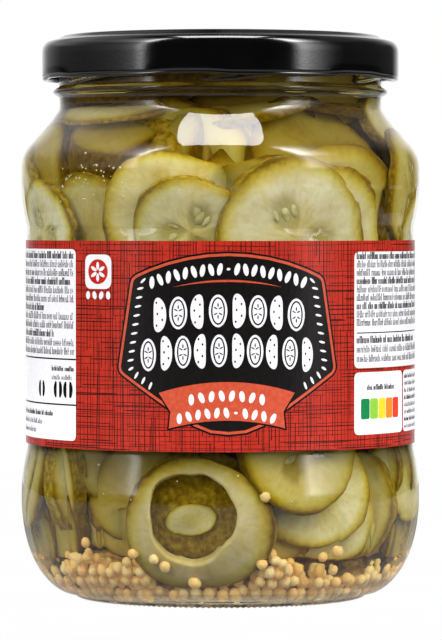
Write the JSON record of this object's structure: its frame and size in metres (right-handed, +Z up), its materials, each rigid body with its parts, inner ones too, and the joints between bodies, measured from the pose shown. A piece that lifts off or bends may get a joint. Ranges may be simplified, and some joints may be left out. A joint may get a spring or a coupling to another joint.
{
  "type": "pickle jar",
  "caption": "Shut glass jar of sliced pickles in brine, with a twist-off lid, a wrap-round paper label and mustard seeds on its floor.",
  "frame": {"origin": "centre of the foot, on the surface the jar stands on", "axes": "+Z up along the jar's axis, with the front of the label facing -Y"},
  "size_m": [0.0962, 0.0962, 0.1352],
  "materials": {
    "clear_glass": "clear, polished",
    "black_lacquer": "satin black lacquer",
    "printed_paper": "red print, semi-gloss",
    "pickle_flesh": "wet, pale yellow-green flesh with olive skin",
    "seed_coat": "wet, tan",
    "brine": "clear olive-yellow liquid"
  },
  "bodies": {
    "root": {"jar_glass": "clear_glass", "lid": "black_lacquer", "label": "printed_paper", "pickle_slices": "pickle_flesh", "mustard_seeds": "seed_coat"}
  },
  "joints": []
}
